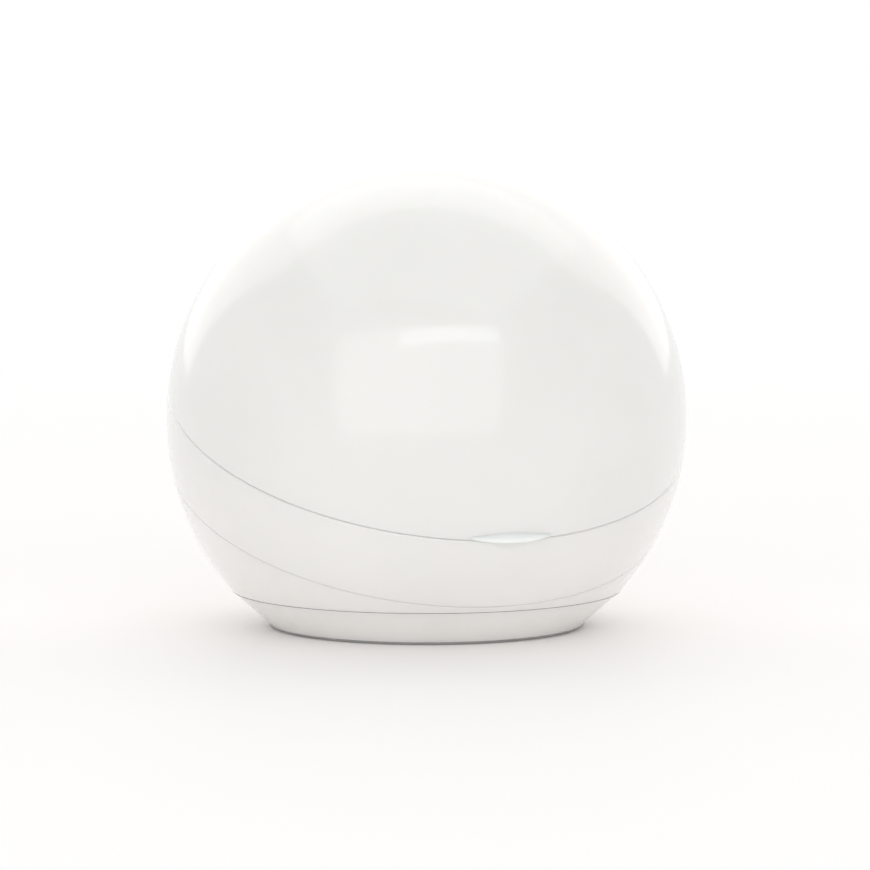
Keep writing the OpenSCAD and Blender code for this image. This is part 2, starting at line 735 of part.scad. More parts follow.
// Two half-pipes under the lamp's legs, joined by a web
module lamp_reflector() color("silver") tilted() translate([0, lamp_bend_y + pipe_end, lamp_z])
  rotate([-90, 0, 0]) linear_extrude(socket_y - fit - lamp_bend_y - pipe_end) union() {
    for (i = [-1, 1]) translate([i * lamp_pitch / 2, 0]) intersection() {
      difference() {
        circle(lamp_d / 2 + pipe_gap + pipe_t);
        circle(lamp_d / 2 + pipe_gap);
      }
      translate([-far, 0]) square([2 * far, far]);
    }
    web_w = lamp_pitch - lamp_d - 2 * pipe_gap - 2 * skin;
    translate([-web_w / 2, 0]) square([web_w, pipe_t]);
  }
// Straight leads from the lamp's socket down to the board
module lamp_leads() color("firebrick") for (i = [-1, 1]) translate([i * lead_x, 0, 0]) union() {
  tilted() translate([0, lead_y, -lead_drop]) cylinder(r = lead_r, h = lead_drop - bowl_depth + lead_in);
  tilted() translate([0, lead_y, -lead_drop]) sphere(lead_r + lead_knee);
  translate([0, lead_low_y, board_top]) cylinder(r = lead_r, h = lead_low_z - board_top);
}

// ---- Safety switch and indicator ----
module switch_body() color("black") tilted() rotate(switch_angle - 90) union() {
  translate([switch_in, -switch_w / 2, switch_top - switch_h])
    cube([switch_out - switch_in, switch_w, switch_h - button_h]);
  translate([switch_ring, 0, switch_top - button_h - skin]) cylinder(r = button_r, h = button_h + skin);
}
module switch_plunger() color("lightgray") tilted() rotate(switch_angle - 90)
  translate([switch_ring, 0, plunger_top - plunger_len]) rotate_extrude() difference() {
    union() {
      ring_2d(0, plunger_d / 2, 0, plunger_len);
      ring_2d(0, plunger_flange_r, plunger_flange_z, plunger_flange_z + plunger_flange_t);
    }
    corner_2d(plunger_d / 2, plunger_len, plunger_edge, 1);
  }
module indicator_led() color("palegreen") tilted() translate([0, led_back, led_z]) union() {
  rotate([90, 0, 0]) cylinder(r = led_r + 0.4, h = 1);
  rotate([90, 0, 0]) cylinder(r = led_r, h = led_l);
  translate([0, -led_l, 0]) sphere(led_r);
  for (i = [-1, 1]) translate([i * 0.9, -skin, 0]) rotate([-90, 0, 0]) cylinder(r = 0.3, h = 1.6);
}

// ---- Board ----
module main_board() color("darkgreen") difference() {
  translate([0, 0, board_z]) cylinder(d = board_d, h = board_t);
  at_posts() cylinder(r = screw_r + shank_gap, h = far);
}
module board_screws() color("silver") at_posts() translate([0, 0, board_top]) mirror([0, 0, 1]) screw(board_screw_l);
module control_chip() color("black") translate([chip_at[0], chip_at[1], board_top]) union() {
  translate([-chip[0] / 2, -chip[1] / 2, 0.2]) cube([chip[0], chip[1], chip[2] - 0.2]);
  for (i = [-3:3], j = [-1, 1]) translate([i * 1.1 - 0.2, j * (chip[1] / 2 + 0.4) - 0.6, 0]) cube([0.4, 1.2, 0.5]);
}
module lamp_transformer() color("goldenrod") translate([coil_at[0], coil_at[1], board_top]) union() {
  for (z = [0, coil_core[2] - 2]) translate([-coil_core[0] / 2, -coil_core[1] / 2, z])
    cube([coil_core[0], coil_core[1], 2]);
  for (i = [-1, 1]) translate([i * (coil_core[0] / 2 - 1) - 1, -coil_core[1] / 2, 0])
    cube([2, coil_core[1], coil_core[2]]);
  cylinder(r = 4, h = coil_core[2] - skin);
}
module smoothing_capacitor() color("midnightblue") translate([cap_at[0], cap_at[1], board_top]) rotate_extrude()
  difference() {
    ring_2d(0, cap_r, 0, cap_h);
    corner_2d(cap_r, cap_h, 0.6, 1);
    translate([cap_r + 0.25, 2.2]) circle(0.6);
  }
module drive_transistors() color("black") for (p = transistor_at) translate([p[0], p[1], board_top]) union() {
  translate([0, 0, transistor_leg]) intersection() {
    cylinder(r = transistor_r, h = transistor_h);
    translate([-far, -far, 0]) cube([far + 1.2, 2 * far, far]);
  }
  for (j = [-1:1]) translate([-0.25, j * 1.2 - 0.25, 0]) cube([0.5, 0.5, transistor_leg + skin]);
}
module lead_plug() color("ivory") translate([plug_at[0], plug_at[1], board_top]) difference() {
  translate([-plug_size[0] / 2, -plug_size[1] / 2, 0]) cube(plug_size);
  translate([-plug_size[0] / 2 + 0.8, -plug_size[1] / 2 + 0.8, 2]) cube([plug_size[0] - 1.6, plug_size[1] - 1.6, far]);
}

// ---- Power jack ----
module power_jack() color("black") port_side() tilted() translate([-jack_front, 0, -port_drop]) difference() {
  translate([0, -jack[1] / 2, -jack[2] / 2]) cube(jack);
  translate([-skin, 0, 0]) rotate([0, 90, 0]) difference() {
    cylinder(r = jack_bore_r, h = jack_depth);
    cylinder(r = jack_pin_r, h = jack_depth);
  }
}
module jack_board() color("darkgreen") port_side() tilted()
  translate([-jack_back + seat_gap, -jack[1] / 2 - 1, -jack_board_low]) cube([board_t, jack[1] + 2, jack_board_h]);
// Two leads from the jack's board straight down to the main board
module jack_leads() color("firebrick") port_side() for (y = [-jack_lead_y, jack_lead_y]) {
  top_y = y * cos(seam_tilt) + jack_lead_drop * sin(seam_tilt);
  top_z = ball_z + y * sin(seam_tilt) - jack_lead_drop * cos(seam_tilt);
  translate([jack_lead_x, top_y, 0]) union() {
    translate([0, 0, top_z]) rotate([0, 90, 0]) cylinder(r = lead_r, h = jack_lead_out);
    translate([jack_lead_out, 0, top_z]) sphere(lead_r);
    translate([jack_lead_out, 0, board_top]) cylinder(r = lead_r, h = top_z - board_top);
  }
}

// ---- Cells and contacts ----
// Every other cell is turned round; end is 0 for its stud's end and 180 for its flat end
module at_cells(end) for (i = [0:cells - 1]) translate([(i - (cells - 1) / 2) * cell_d, 0, cell_z])
  rotate([0, 0, i % 2 * 180 + end]) children();
module battery_cells() color("steelblue") at_cells(0) translate([0, -cell_l / 2, 0]) rotate([-90, 0, 0]) union() {
  cylinder(r = cell_d / 2 - sleeve_gap, h = cell_l - nub_l);
  cylinder(r = nub_r, h = cell_l);
}
module contact_plate() union() {
  translate([-contact_w / 2, 0, -contact_h / 2]) cube([contact_w, contact_t, contact_h]);
  translate([-tail_w / 2, 0, 0]) cube([tail_w, contact_t, board_z - cell_z - seat_gap]);
}
module at_contacts(end) at_cells(end) translate([0, bay_in_y / 2 - contact_t - seat_gap, 0]) children();
// Bent leaf at each cell's flat end
module spring_contacts() color("gold") at_contacts(180) union() {
  contact_plate();
  translate([-contact_w / 2, -leaf_out, -contact_t]) cube([contact_w, leaf_out + skin, contact_t]);
  translate([-contact_w / 2 + leaf_inset, -leaf_out, -contact_t])
    cube([contact_w - 2 * leaf_inset, contact_t, stud_w]);
}
module plate_contacts() color("gold") at_contacts(0) union() {
  contact_plate();
  translate([-stud_w / 2, -stud_out, -stud_w / 2]) cube([stud_w, stud_out + skin, stud_w]);
}
// Slots in the bay's roof for the contacts' solder tails
module contact_slots() for (end = [0, 180]) at_contacts(end) translate([-tail_w / 2 - slot_gap, -slot_gap, 0])
  cube([tail_w + 2 * slot_gap, contact_t + 2 * slot_gap, far]);

lid_shell();
lid_liner();
thumb_tab();
hinge_pin();
rim_band();
base_shell();
foot_cover();
foot_ring();
battery_door();
door_screw();
case_screws();
deck_ring();
deck_screws();
soother_tray();
chamber_bowl();
lamp_guard();
uv_lamp();
lamp_socket();
lamp_clip();
lamp_reflector();
lamp_leads();
switch_body();
switch_plunger();
indicator_led();
main_board();
board_screws();
control_chip();
lamp_transformer();
smoothing_capacitor();
drive_transistors();
lead_plug();
power_jack();
jack_board();
jack_leads();
battery_cells();
spring_contacts();
plate_contacts();
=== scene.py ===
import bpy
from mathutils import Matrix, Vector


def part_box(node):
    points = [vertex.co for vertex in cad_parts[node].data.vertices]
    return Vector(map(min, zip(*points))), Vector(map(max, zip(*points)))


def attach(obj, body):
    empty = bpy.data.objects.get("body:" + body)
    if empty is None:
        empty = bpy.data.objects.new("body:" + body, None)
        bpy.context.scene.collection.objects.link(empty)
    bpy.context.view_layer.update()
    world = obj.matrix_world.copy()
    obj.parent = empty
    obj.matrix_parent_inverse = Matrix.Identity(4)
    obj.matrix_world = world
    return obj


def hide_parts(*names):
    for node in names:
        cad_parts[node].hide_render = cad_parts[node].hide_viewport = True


bl_info = {
    "name": "Soother steriliser case",
    "version": (1, 0, 0),
    "blender": (4, 5, 0),
    "location": "View3D > Sidebar > Steriliser",
    "description": "Ball-shaped case with a sloping seam, a hinged lid, a stepped tray and a lamp chamber",
    "category": "Object",
}

import math

import bmesh
import bpy
from bpy.props import FloatProperty, FloatVectorProperty, PointerProperty
from mathutils import Matrix, Vector

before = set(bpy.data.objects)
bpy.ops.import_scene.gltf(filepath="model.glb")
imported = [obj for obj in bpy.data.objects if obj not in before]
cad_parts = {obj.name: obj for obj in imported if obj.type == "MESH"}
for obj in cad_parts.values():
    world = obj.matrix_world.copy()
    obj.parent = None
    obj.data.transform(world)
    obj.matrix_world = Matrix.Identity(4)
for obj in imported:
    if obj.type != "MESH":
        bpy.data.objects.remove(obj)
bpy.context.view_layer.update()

MM = 0.001
SHELL_STEPS = 360  # round a full turn of an outer shell
CUTTER_STEPS = 240  # round a ball that cuts an outer shell
INNER_STEPS = 192  # round a full turn of the deck and the tray
BOWL_STEPS = 160  # round a full turn of the reflector and the bowl
ON_BALL = 0.008 * MM  # how far a cut's corner may lie off the true ball
WELD = 0.0001 * MM  # corners closer than this are one
LID_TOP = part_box("lid_shell")[1][2]
SHELL_EDGE = 0.2 * MM  # rounding of the shells' edges at the two thin lines

# The hinge: radii, half-lengths and places along X, in the seam's frame
HINGE_OUT = 0.5 * MM  # from the ball's surface out to the hinge's axis
KNUCKLE_RADIUS = 3 * MM
KNUCKLE_ROUNDING = 0.3 * MM
KNUCKLE_ROOM = 3.4 * MM
KNUCKLE_ROOT = 0.3 * MM  # from a shell's inside out to the knuckle's root
KNUCKLE_HALF = 8.7 * MM
EAR_HALF = 3 * MM
EAR_PLACE = 12 * MM
END_ROOM = 0.28 * MM
PIN_RADIUS = 1.25 * MM
PIN_HALF = 15 * MM
PIN_ROUNDING = 0.25 * MM
PIN_BORE = 1.3 * MM
PIN_BORE_HALF = 16 * MM

# The safety switch's place round the deck, and its finger on the lid
SWITCH_TURN = math.radians(-60)
SWITCH_REACH = 45.3 * MM


# ---- Sizes and colours that a user would change ----
class CaseSizes(bpy.types.PropertyGroup):
    ball_radius: FloatProperty(
        name="Ball radius", description="Outside radius of the ball", default=52.5 * MM, unit="LENGTH"
    )
    wall: FloatProperty(
        name="Wall", description="Wall of the outer shells", default=2.2 * MM, unit="LENGTH"
    )
    seam_slope: FloatProperty(
        name="Seam slope", description="Slope of the seam, down to the front", default=math.radians(22),
        unit="ROTATION",
    )
    parting_gap: FloatProperty(
        name="Parting gap", description="Line between two outer shells", default=0.06 * MM, unit="LENGTH"
    )
    band_height: FloatProperty(
        name="Band height", description="Rim band, square to the seam", default=16.3 * MM, unit="LENGTH"
    )
    band_edge: FloatProperty(
        name="Band edge", description="Rounding of the rim band's top edge", default=0.6 * MM, unit="LENGTH"
    )
    lid_edge: FloatProperty(
        name="Lid edge", description="Rounding of the lid's lower edge", default=0.4 * MM, unit="LENGTH"
    )
    foot_height: FloatProperty(
        name="Foot height", description="Height of the foot pan's edge", default=7.3 * MM, unit="LENGTH"
    )
    tab_width: FloatProperty(
        name="Tab width", description="Width of the thumb tab", default=17.5 * MM, unit="LENGTH"
    )
    tab_out: FloatProperty(
        name="Tab reach", description="How far the thumb tab stands out", default=1.5 * MM, unit="LENGTH"
    )
    teat_hole: FloatProperty(
        name="Teat hole", description="Radius of the hole for the teat", default=14 * MM, unit="LENGTH"
    )


class CaseColours(bpy.types.PropertyGroup):
    shell: FloatVectorProperty(
        name="Shell", description="Glossy plastic of the ball", subtype="COLOR",
        default=(0.83, 0.82, 0.8),
    )
    tab: FloatVectorProperty(
        name="Thumb tab", description="Pale mint of the thumb tab", subtype="COLOR",
        default=(0.9, 0.925, 0.91),
    )
    tray: FloatVectorProperty(
        name="Tray", description="Satin plastic of the tray and deck", subtype="COLOR",
        default=(0.83, 0.83, 0.81),
    )
    floor: FloatVectorProperty(
        name="Floor", description="Plain pale floor", subtype="COLOR",
        default=(0.95, 0.93, 0.925),
    )


def sizes():
    return bpy.context.scene.case_sizes


def colours():
    return bpy.context.scene.case_colours


def ball_centre():
    return Vector((0, 0, LID_TOP - sizes().ball_radius))


def seam_frame():
    """From the seam's frame, whose Z is square to the seam, to the row's frame."""
    return Matrix.Translation(ball_centre()) @ Matrix.Rotation(sizes().seam_slope, 4, "X")


# ---- Outlines ----
def height_on(radius, along):
    """The other leg of a point on a circle."""
    return math.sqrt(radius * radius - along * along)


def latitude(radius, height):
    """The angle in degrees at which a circle reaches a height."""
    return math.degrees(math.asin(height / radius))


def arc(centre, radius, start, end, steps):
    """Points of an arc in a half-plane, from one angle in degrees to another."""
    turn = [math.radians(start + (end - start) * i / steps) for i in range(steps + 1)]
    return [(centre[0] + radius * math.cos(a), centre[1] + radius * math.sin(a)) for a in turn]


def sweep(first, last, steps):
    """Points of the ball's outline between two of its points."""
    start, end = (math.degrees(math.atan2(z, x)) for x, z in (first, last))
    return arc((0, 0), math.hypot(*first), start, end, steps)[1:-1]


def corner(radius, height, edge, side, up, steps=4):
    """Rounding from a ball's surface to a flat rim.

    The side is 1 on the ball's outside and -1 on its inside, and up is 1 where the rim is on top.
    """
    reach, level = radius - side * edge, height - up * edge
    turn = latitude(reach, level)
    ends = (turn, 90 * up) if side > 0 else (180 + turn, 180 - 90 * up)
    return arc((height_on(reach, level), level), edge, *ends, steps)


def in_metres(points):
    """An outline that is written in millimetres."""
    return [(x * MM, z * MM) for x, z in points]


# ---- Shapes ----
def spun(points, closed=True, steps=SHELL_STEPS):
    """A half-plane outline turned round Z."""
    bm = bmesh.new()
    verts = [bm.verts.new((x, 0, z)) for x, z in points]
    edges = [bm.edges.new(pair) for pair in zip(verts, verts[1:])]
    if closed:
        edges.append(bm.edges.new((verts[-1], verts[0])))
    bmesh.ops.spin(
        bm, geom=verts + edges, axis=(0, 0, 1), cent=(0, 0, 0), angle=math.tau, steps=steps, use_merge=True
    )
    bmesh.ops.remove_doubles(bm, verts=bm.verts, dist=WELD)
    bmesh.ops.recalc_face_normals(bm, faces=bm.faces)
    return bm


def bevelled(bm, edges, width, segments):
    bmesh.ops.bevel(
        bm, geom=edges, offset=width, offset_type="OFFSET", affect="EDGES", segments=segments, profile=0.5,
        material=-1, clamp_overlap=True,
    )
    return bm


def softened(bm, width, segments=2, angle=40):
    """Rounds every edge that turns by more than the angle."""
    sharp = math.radians(angle)
    edges = [e for e in bm.edges if len(e.link_faces) == 2 and e.calc_face_angle(0) > sharp]
    return bevelled(bm, edges, width, segments)


def block(size, low, width=0.0):
    """A box from its lowest corner, with its edges rounded."""
    bm = bmesh.new()
    bmesh.ops.create_cube(bm, size=1)
    bmesh.ops.scale(bm, vec=size, verts=bm.verts)
    bmesh.ops.translate(bm, vec=[a + b / 2 for a, b in zip(low, size)], verts=bm.verts)
    return softened(bm, width) if width else bm


def drum(radius, low, high, width=0.0, steps=48):
    """A solid cylinder along Z, with rounded rims."""
    points = [(0, low)]
    if width:
        points += arc((radius - width, low + width), width, -90, 0, 4)
        points += arc((radius - width, high - width), width, 0, 90, 4)
    else:
        points += [(radius, low), (radius, high)]
    return spun(points + [(0, high)], closed=False, steps=steps)


def ball_shape(radius, centre=(0, 0, 0), steps=96):
    bm = bmesh.new()
    bmesh.ops.create_uvsphere(bm, u_segments=steps, v_segments=steps // 2, radius=radius)
    return moved(bm, Matrix.Translation(centre))


def moved(bm, matrix):
    bmesh.ops.transform(bm, matrix=matrix, verts=bm.verts)
    return bm


def turned(angle):
    return Matrix.Rotation(angle, 4, "Z")


def along_x(x=0.0, y=0.0, z=0.0):
    return Matrix.Translation((x, y, z)) @ Matrix.Rotation(math.pi / 2, 4, "Y")


def along_y(x=0.0, y=0.0, z=0.0):
    return Matrix.Translation((x, y, z)) @ Matrix.Rotation(-math.pi / 2, 4, "X")


def hinge_drum(radius, half, place=0.0, rounding=0.0):
    """A drum on the hinge's axis, with its middle at a place along X."""
    return moved(drum(radius, -half, half, rounding), along_x(place, sizes().ball_radius + HINGE_OUT))


def joined(*parts):
    """Several shapes in one mesh."""
    whole = bmesh.new()
    for part in parts:
        mesh = bpy.data.meshes.new("part")
        part.to_mesh(mesh)
        part.free()
        whole.from_mesh(mesh)
        bpy.data.meshes.remove(mesh)
    return whole


def combined(bm, other, operation="DIFFERENCE"):
    """One shape cut by, joined to or kept inside another."""
    objects = []
    for shape in (bm, other):
        mesh = bpy.data.meshes.new("shape")
        shape.to_mesh(mesh)
        shape.free()
        obj = bpy.data.objects.new("shape", mesh)
        bpy.context.scene.collection.objects.link(obj)
        objects.append(obj)
    cut = objects[0].modifiers.new("cut", "BOOLEAN")
    cut.object, cut.operation, cut.solver = objects[1], operation, "EXACT"
    result = bpy.data.meshes.new_from_object(
        objects[0].evaluated_get(bpy.context.evaluated_depsgraph_get())
    )
    whole = bmesh.new()
    whole.from_mesh(result)
    for obj in objects:
        mesh = obj.data
        bpy.data.objects.remove(obj)
        bpy.data.meshes.remove(mesh)
    bpy.data.meshes.remove(result)
    if not whole.faces:
        raise RuntimeError("a cut left nothing")
    return whole


# ---- Finished pieces ----
def true_ball_normals(mesh, radii):
    """Points every corner that lies on one of the ball's surfaces exactly along its radius."""
    centre = ball_centre()
    normals = [Vector(n.vector) for n in mesh.corner_normals]
    for poly in mesh.polygons:
        reach = [(mesh.vertices[i].co - centre).length for i in poly.vertices]
        for radius, side in radii:
            if max(abs(r - radius) for r in reach) < ON_BALL:
                for loop in poly.loop_indices:
                    ray = mesh.vertices[mesh.loops[loop].vertex_index].co - centre
                    normals[loop] = side * ray.normalized()
    mesh.normals_split_custom_set(normals)


def piece(name, bm, material, body, nodes, sharp=32, balls=()):
    """A finished mesh object that rides on a body and stands for CAD nodes."""
    mesh = bpy.data.meshes.new(name)
    bm.to_mesh(mesh)
    bm.free()
    mesh.shade_smooth()
    mesh.set_sharp_from_angle(angle=math.radians(sharp))
    if balls:
        true_ball_normals(mesh, balls)
    mesh.materials.append(material)
    obj = bpy.data.objects.new(name, mesh)
    bpy.context.scene.collection.objects.link(obj)
    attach(obj, body)
    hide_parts(*nodes)


def refined(node, material, body, width=0.0, sharp=32):
    """A CAD node's own shape as one welded mesh, with its edges rounded."""
    bm = bmesh.new()
    bm.from_mesh(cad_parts[node].data)
    bmesh.ops.remove_doubles(bm, verts=bm.verts, dist=0.002 * MM)
    bmesh.ops.dissolve_limit(
        bm, angle_limit=math.radians(0.5), verts=bm.verts, edges=bm.edges, use_dissolve_boundaries=False,
        delimit=set(),
    )
    if width:
        softened(bm, width)
    piece(node + "_body", bm, material, body, (node,), sharp)


# ---- Finishes ----
class Finish:
    """A procedural material on Object coordinates, built up step by step."""

    def __init__(self, name, **values):
        self.material = bpy.data.materials.new(name)
        self.material.use_nodes = True
        self.nodes = self.material.node_tree.nodes
        self.links = self.material.node_tree.links
        self.shader = self.nodes["Principled BSDF"]
        self.place = self.nodes.new("ShaderNodeTexCoord").outputs["Object"]
        self.set(**values)

    def set(self, **values):
        """Constants of the shader, where an underscore stands for a space."""
        for name, value in values.items():
            self.shader.inputs[name.replace("_", " ")].default_value = value

    def node(self, kind, inputs=(), **settings):
        node = self.nodes.new("ShaderNode" + kind)
        for key, value in settings.items():
            setattr(node, key, value)
        for key, value in dict(inputs).items():
            if isinstance(value, bpy.types.NodeSocket):
                self.links.new(value, node.inputs[key])
            else:
                node.inputs[key].default_value = value
        return node

    def stretched(self, scale):
        """Object coordinates stretched by axis."""
        return self.node("Mapping", {"Vector": self.place, "Scale": scale}).outputs["Vector"]

    def noise(self, scale, detail=2.0, rough=0.5, place=None):
        inputs = {"Vector": place or self.place, "Scale": scale, "Detail": detail, "Roughness": rough}
        return self.node("TexNoise", inputs).outputs["Fac"]

    def ranged(self, value, low, high, start=0.3, end=0.7):
        inputs = {"Value": value, "From Min": start, "From Max": end, "To Min": low, "To Max": high}
        return self.node("MapRange", inputs).outputs["Result"]

    def mixed(self, factor, first, second):
        """A mix, by a socket, of two colours that are sockets or three numbers each."""
        mix = self.node("Mix", data_type="RGBA")
        for slot, value in ((0, factor), (6, first), (7, second)):
            if isinstance(value, bpy.types.NodeSocket):
                self.links.new(value, mix.inputs[slot])
            else:
                mix.inputs[slot].default_value = (*value[:3], 1)
        return mix.outputs[2]

    def math(self, operation, first, second=0.0):
        return self.node("Math", {0: first, 1: second}, operation=operation).outputs[0]

    def to(self, name, output):
        self.links.new(output, self.shader.inputs[name])

    def bumps(self, height, distance):
        self.to("Normal", self.node("Bump", {"Height": height, "Distance": distance}).outputs["Normal"])

    def mottled(self, colour, amount, scale):
        """The colour with a faint lighter and darker drift."""
        low = [c * (1 - amount) for c in colour]
        high = [min(c * (1 + amount), 1) for c in colour]
        self.to("Base Color", self.mixed(self.ranged(self.noise(scale, 3), 0, 1), low, high))


def plastic(name, colour, rough=0.2, coat=0.0, peel=0.0015, grain=900, depth=0.0, amount=0.015):
    """Moulded plastic: faint colour drift, uneven gloss and the mould's fine skin, whose peel is in mm."""
    f = Finish(name, Metallic=0.0, IOR=1.5)
    f.mottled(colour, amount, 45)
    f.to("Roughness", f.ranged(f.noise(150, 4, 0.6), rough * 0.85, rough * 1.2))
    f.bumps(f.noise(grain, 2), peel * MM)
    if coat:
        f.set(Coat_Weight=coat, Coat_Roughness=0.04, Coat_IOR=1.5)
    if depth:
        f.set(Subsurface_Weight=depth, Subsurface_Scale=4 * MM, Subsurface_Radius=(1.0, 0.85, 0.7))
    return f.material


def metal(name, colour, rough, stretch=(1, 1, 1), grain=900, peel=0.004):
    """Metal with drawn or rolled grain along the axes that the stretch leaves short."""
    f = Finish(name, Metallic=1.0)
    place = f.stretched(stretch)
    f.mottled(colour, 0.05, 120)
    f.to("Roughness", f.ranged(f.noise(grain, 4, 0.6, place), rough * 0.7, rough * 1.4))
    f.bumps(f.noise(grain, 3, 0.6, place), peel * MM)
    return f.material


def lamp_glass():
    """Clear quartz with faint ripples."""
    f = Finish("lamp_glass", Metallic=0.0, IOR=1.46, Transmission_Weight=1.0)
    f.set(Base_Color=(0.96, 0.97, 0.99, 1))
    f.to("Roughness", f.ranged(f.noise(300, 3), 0.01, 0.04))
    f.bumps(f.noise(500, 2), 0.002 * MM)
    return f.material


def foot_rubber():
    """Dull rubber with a fine pebbled skin."""
    f = Finish("foot_rubber", Metallic=0.0, IOR=1.5)
    f.mottled((0.36, 0.355, 0.35), 0.06, 200)
    f.to("Roughness", f.ranged(f.noise(800, 3), 0.55, 0.8))
    f.bumps(f.noise(2600, 3, 0.7), 0.03 * MM)
    return f.material


def circuit_board():
    """Green solder mask over copper tracks, with pads and fine weave."""
    f = Finish("circuit_board", Metallic=0.0, IOR=1.5)
    tracks = f.node("TexBrick", {
        "Vector": f.place, "Scale": 210.0, "Mortar Size": 0.035, "Brick Width": 0.9, "Row Height": 0.32,
    }, offset=0.37, squash=1.0).outputs["Fac"]
    spots = f.node("TexVoronoi", {"Vector": f.place, "Scale": 190.0, "Randomness": 0.75}).outputs["Distance"]
    pad = f.ranged(spots, 1, 0, 0.1, 0.13)
    mask = f.mixed(f.ranged(f.noise(90, 3), 0, 1), (0.012, 0.11, 0.045), (0.02, 0.15, 0.06))
    lined = f.mixed(tracks, mask, (0.045, 0.24, 0.1))
    f.to("Base Color", f.mixed(pad, lined, (0.62, 0.6, 0.55)))
    f.to("Roughness", f.ranged(pad, 0.38, 0.25, 0, 1))
    f.bumps(f.math("ADD", tracks, f.noise(2400, 2)), 0.02 * MM)
    return f.material


def copper_winding():
    """Copper wire wound in tight turns, with painted shade in the grooves between them and painted highlight
    on their crests.
    """
    f = Finish("copper_winding", Metallic=1.0)
    waves = f.node("TexWave", {
        "Vector": f.place, "Scale": 1300.0, "Distortion": 0.4, "Detail": 1.0,
    }, bands_direction="Z").outputs["Fac"]
    # The colour follows the turns' bump: darker in the grooves, painted shade, and lighter on the crests,
    # painted highlight.
    f.to("Base Color", f.mixed(waves, (0.35, 0.13, 0.05), (0.72, 0.34, 0.15)))
    f.to("Roughness", f.ranged(f.noise(400, 3), 0.22, 0.4))
    f.bumps(waves, 0.1 * MM)
    return f.material


def cell_sleeve():
    """Shrink sleeve with faint wrinkles and painted shade in their hollows, open at both ends over the bare
    can.
    """
    sleeve_half = 21.3 * MM
    f = Finish("cell_sleeve", IOR=1.5)
    y = f.node("SeparateXYZ", {"Vector": f.place}).outputs["Y"]
    bare = f.math("GREATER_THAN", f.math("ABSOLUTE", y), sleeve_half)
    wrinkle = f.noise(260, 3, 0.5, f.stretched((1, 0.25, 1)))
    # The sleeve's blue follows the wrinkles' bump: darker in their hollows, painted shade, and lighter on
    # their ridges, painted highlight.
    sleeve = f.mixed(f.ranged(wrinkle, 0, 1), (0.035, 0.09, 0.2), (0.05, 0.12, 0.26))
    f.to("Base Color", f.mixed(bare, sleeve, (0.62, 0.61, 0.59)))
    f.to("Metallic", bare)
    f.to("Roughness", f.ranged(f.noise(500, 2), 0.2, 0.34))
    f.bumps(wrinkle, 0.03 * MM)
    return f.material


def glossy_shell():
    return plastic("glossy_shell", colours().shell, 0.22, 0.9, depth=0.25)


def mint_tab():
    return plastic("mint_tab", colours().tab, 0.16, 0.8, depth=0.3)


def satin_tray():
    return plastic("satin_tray", colours().tray, 0.34, 0.15, 0.003, 1400, depth=0.15)


def satin_grille():
    return plastic("satin_grille", [v * 0.97 for v in colours().tray], 0.38, peel=0.003, grain=1600)


def lamp_ceramic():
    return plastic("lamp_ceramic", (0.8, 0.79, 0.75), 0.5, peel=0.01, grain=2600, amount=0.04)


def black_plastic():
    return plastic("black_plastic", (0.018, 0.018, 0.02), 0.42, peel=0.008, grain=2200, amount=0.2)


def grey_plastic():
    return plastic("grey_plastic", (0.27, 0.28, 0.29), 0.35, peel=0.005, grain=1800, amount=0.05)


def ivory_plastic():
    return plastic("ivory_plastic", (0.79, 0.72, 0.52), 0.35, peel=0.005, grain=1800, amount=0.04)


def led_resin():
    return plastic("led_resin", (0.3, 0.72, 0.36), 0.12, 0.4, depth=0.6)


def red_lead():
    return plastic("red_lead", (0.42, 0.015, 0.012), 0.35, peel=0.01, grain=2000, amount=0.08)


def capacitor_sleeve():
    return plastic("capacitor_sleeve", (0.02, 0.03, 0.11), 0.3, 0.2, 0.004, 1500, amount=0.1)


def mirror_dome():
    return metal("mirror_dome", (0.78, 0.79, 0.81), 0.14, grain=260, peel=0.003)


def spun_bowl():
    return metal("spun_bowl", (0.74, 0.75, 0.77), 0.2, (1, 1, 14), 240, 0.003)


def drawn_steel():
    return metal("drawn_steel", (0.58, 0.58, 0.59), 0.3, (1, 1, 8))


def nickel_strip():
    return metal("nickel_strip", (0.68, 0.64, 0.56), 0.24, (6, 1, 1))


FINISHES = {}


def finish(maker):
    """A material from its maker, made once and then shared."""
    if maker not in FINISHES:
        FINISHES[maker] = maker()
    return FINISHES[maker]


# ---- The lid ----
def lid_dome(s):
    """The lid's shell, with its knuckle, the notches for the band's ears and the slot for the tab's stem."""
    outer, inner, low = s.ball_radius, s.ball_radius - s.wall, s.parting_gap / 2
    slot_size, slot_low = (11.2 * MM, 9 * MM, 1.4 * MM), (-5.6 * MM, -51.2 * MM, 0.55 * MM)
    inner_edge = 0.15 * MM
    inside = corner(inner, low, inner_edge, -1, -1, 2)
    outside = corner(outer, low, s.lid_edge, 1, -1, 6)[::-1]
    points = [(0, inner), *sweep((0, inner), inside[0], 60), *inside, *outside]
    points += [*sweep(outside[-1], (0, outer), 80), (0, outer)]
    bm = spun(points, closed=False)
    knuckle = hinge_drum(KNUCKLE_RADIUS, KNUCKLE_HALF, rounding=KNUCKLE_ROUNDING)
    bm = combined(bm, combined(knuckle, ball_shape(inner + KNUCKLE_ROOT)), "UNION")
    notches = [hinge_drum(KNUCKLE_ROOM, EAR_HALF + END_ROOM, side * EAR_PLACE) for side in (-1, 1)]
    bm = combined(bm, joined(block(slot_size, slot_low), *notches))
    return combined(bm, hinge_drum(PIN_BORE, PIN_BORE_HALF))


